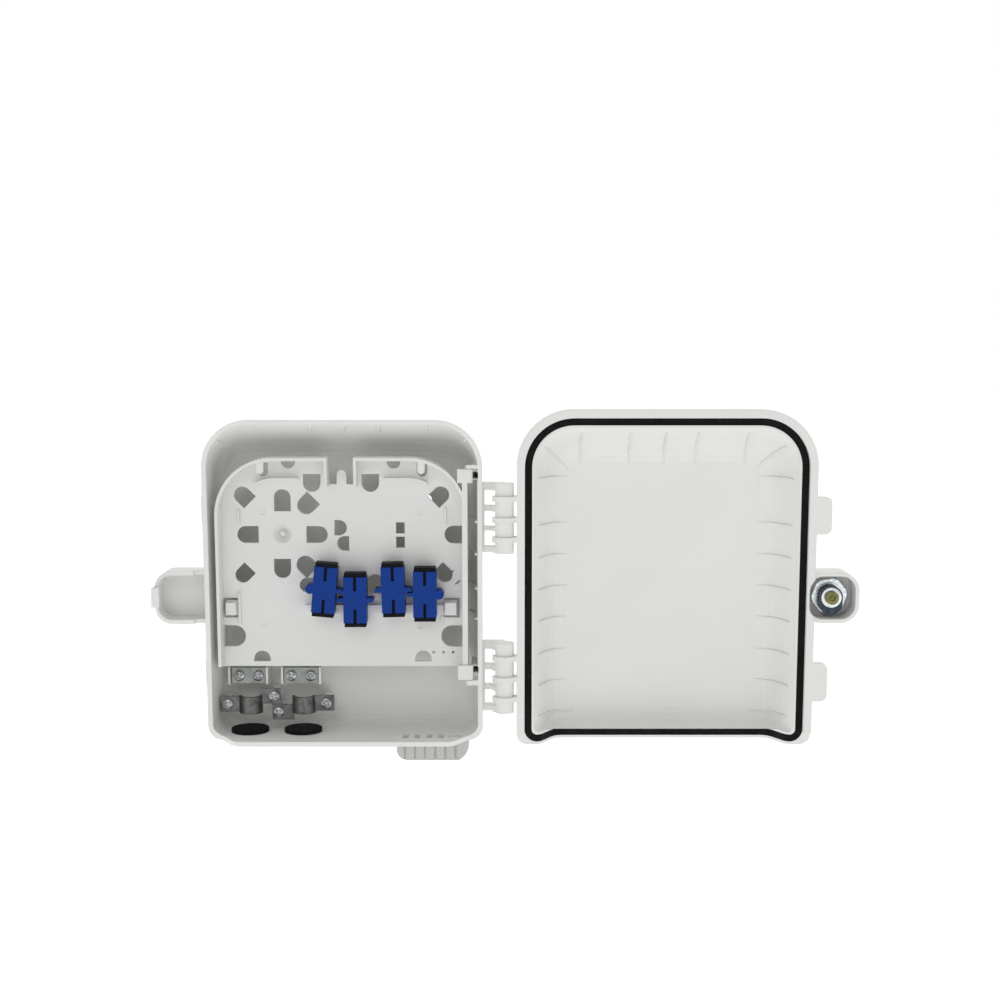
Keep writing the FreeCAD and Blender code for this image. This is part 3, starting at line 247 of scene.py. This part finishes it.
def separate_solids(node):
    """The corners of each separate solid of a node, as (low, high) pairs, from left to right."""
    mesh = node.data
    spots = {}
    owner = []
    for vertex in mesh.vertices:
        key = tuple(round(value * 1e6) for value in vertex.co)
        owner.append(spots.setdefault(key, len(spots)))
    links = list(range(len(spots)))

    def root(index):
        while links[index] != index:
            index = links[index]
        return index

    for face in mesh.polygons:
        first = root(owner[face.vertices[0]])
        for corner in face.vertices[1:]:
            links[root(owner[corner])] = first
    boxes = {}
    for vertex in mesh.vertices:
        low, high = boxes.setdefault(root(owner[vertex.index]), (list(vertex.co), list(vertex.co)))
        for axis in range(3):
            low[axis] = min(low[axis], vertex.co[axis])
            high[axis] = max(high[axis], vertex.co[axis])
    return sorted(boxes.values())


def ease(value):
    """A smooth step from 0 to 1."""
    value = min(1, max(0, value))
    return value * value * (3 - 2 * value)


# Sizes of a screw, in metres.
HEAD_HEIGHT = 0.0020
DOME_HEIGHT = 0.0008
HEAD_EDGE = 0.0013
SHANK_RADIUS = 0.0015
TIP_RADIUS = 0.0011
TIP_LENGTH = 0.0004
CROSS_DEPTH = 0.0011
CROSS_HALF_WIDTH = 0.00052
CROSS_SIDE = 0.00022
CROSS_REACH = 0.0020
CROSS_END = 0.0008
CROSS_LIMIT = 0.0024


def screw_mesh(points, faces, low, high, turn):
    """A domed pan head with a cross recess, and its shank, inside the box from low to high."""
    rings, sides = 36, 96
    radius = (high[0] - low[0]) / 2
    middle_x = (high[0] + low[0]) / 2
    middle_z = (high[2] + low[2]) / 2
    front, back = low[1], high[1]

    def ring(distance, depth):
        start = len(points)
        for step in range(sides):
            angle = 2 * math.pi * step / sides
            across, along = math.cos(angle), math.sin(angle)
            sink = 0
            if distance < CROSS_LIMIT:
                u = distance * math.cos(angle - turn)
                v = distance * math.sin(angle - turn)
                long, short = max(abs(u), abs(v)), min(abs(u), abs(v))
                inside = ease((CROSS_HALF_WIDTH - short) / CROSS_SIDE)
                sink = CROSS_DEPTH * inside * ease((CROSS_REACH - long) / CROSS_END)
            points.append((middle_x + distance * across, depth + sink, middle_z + distance * along))
        return start

    starts = [ring(radius * step / rings * 0.99, front + DOME_HEIGHT * (step / rings) ** 2.4)
              for step in range(1, rings + 1)]
    profile = [(radius, front + DOME_HEIGHT + 0.0001), (radius, front + HEAD_EDGE),
               (radius, front + HEAD_HEIGHT), (SHANK_RADIUS, front + HEAD_HEIGHT),
               (SHANK_RADIUS, back - TIP_LENGTH), (TIP_RADIUS, back)]
    starts += [ring(distance, depth) for distance, depth in profile]
    for first, second in zip(starts, starts[1:]):
        for step in range(sides):
            after = (step + 1) % sides
            faces.append((first + step, first + after, second + after, second + step))
    faces.append(tuple(starts[0] + step for step in reversed(range(sides))))
    faces.append(tuple(starts[-1] + step for step in range(sides)))


def build_screws(name, node_name):
    """The screws of one CAD node as one piece, each with its cross turned another way."""
    points, faces = [], []
    for index, (low, high) in enumerate(separate_solids(nodes[node_name])):
        screw_mesh(points, faces, low, high, 0.35 + 0.9 * index)
    mesh = bpy.data.meshes.new(name)
    mesh.from_pydata(points, [], faces)
    mesh.polygons.foreach_set("use_smooth", [True] * len(mesh.polygons))
    mesh.set_sharp_from_angle(angle=math.radians(38))
    mesh.materials.append(MATERIALS["screw_steel"])
    piece = bpy.data.objects.new(name, mesh)
    bpy.context.scene.collection.objects.link(piece)
    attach(piece, "root")
    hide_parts(node_name)


build_screws("clamp_pan_screws", "clamp_screws")
build_screws("plate_pan_screws", "strength_plate_screws")


# ---------------------------------------------------------------- floor, light, camera


def area_light(name, place, target, size, power):
    """A round soft light that points at target."""
    lamp = bpy.data.lights.new(name, "AREA")
    lamp.shape = "DISK"
    lamp.size = size
    lamp.energy = power
    lamp_object = bpy.data.objects.new(name, lamp)
    lamp_object.location = place
    lamp_object.rotation_euler = (Vector(target) - Vector(place)).to_track_quat("-Z", "Y").to_euler()
    bpy.context.scene.collection.objects.link(lamp_object)


def build_floor():
    """A wide pale floor well below the wall-mounted box."""
    drop = 0.35
    reach = 12
    sides = 96
    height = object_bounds()[0][2] - drop
    mesh = bpy.data.meshes.new("floor")
    ring = [(reach * math.cos(turn), reach * math.sin(turn), height) for turn in
            (2 * math.pi * step / sides for step in range(sides))]
    mesh.from_pydata(ring, [], [list(range(sides))])
    floor = bpy.data.objects.new("floor", mesh)
    bpy.context.scene.collection.objects.link(floor)
    made = Nodes("floor_paint")
    paint = made.noise(3, detail=4)
    made.colour(made.ramp(paint, 0.3, 0.7, (0.95, 0.95, 0.95, 1), (0.98, 0.98, 0.98, 1)))
    made.roughness(made.spread(made.noise(40), 0.85, 0.95))
    made.set(Emission_Color=(1, 1, 1, 1), Emission_Strength=0.3)
    mesh.materials.append(made.material)


def build_world():
    """White towards the wall side, dimmer towards the viewer, so that the front keeps its shading."""
    world = bpy.data.worlds.new("studio")
    world.use_nodes = True
    tree = world.node_tree
    place = tree.nodes.new("ShaderNodeTexCoord")
    split = tree.nodes.new("ShaderNodeSeparateXYZ")
    span = tree.nodes.new("ShaderNodeMapRange")
    span.inputs["From Min"].default_value = -0.5
    span.inputs["From Max"].default_value = 0.15
    span.inputs["To Min"].default_value = 0.49
    span.inputs["To Max"].default_value = 1.0
    background = tree.nodes["Background"]
    background.inputs["Color"].default_value = (1, 1, 1, 1)
    tree.links.new(place.outputs["Generated"], split.inputs["Vector"])
    tree.links.new(split.outputs["Y"], span.inputs["Value"])
    tree.links.new(span.outputs["Result"], background.inputs["Strength"])
    bpy.context.scene.world = world


def build_light():
    """A key light from the upper left and a weaker fill from the lower right, both in front."""
    build_world()
    aim = (0.09, -0.02, 0)
    area_light("key", (-0.25, -1.3, 0.75), aim, 0.6, 1.6)
    area_light("fill", (0.6, -1.2, -0.6), aim, 0.9, 1.3)
    bpy.context.scene.view_settings.view_transform = "Standard"
    bpy.context.scene.view_settings.look = "None"


def build_camera():
    """The viewpoint: a little above the box, square to the wall."""
    target = Vector((0.090, -0.034, -0.0015))
    distance = 0.9
    elevation = math.radians(9)
    frame_width = 0.550
    sensor = 36
    lens = bpy.data.cameras.new("camera")
    lens.sensor_width = sensor
    lens.lens = sensor * distance / frame_width
    lens.shift_x = -0.007
    lens.shift_y = 0.085
    lens.clip_start = 0.01
    camera = bpy.data.objects.new("camera", lens)
    away = Vector((0, -math.cos(elevation), math.sin(elevation)))
    camera.location = target + away * distance
    camera.rotation_euler = (-away).to_track_quat("-Z", "Y").to_euler()
    bpy.context.scene.collection.objects.link(camera)
    bpy.context.scene.camera = camera


build_floor()
build_light()
build_camera()
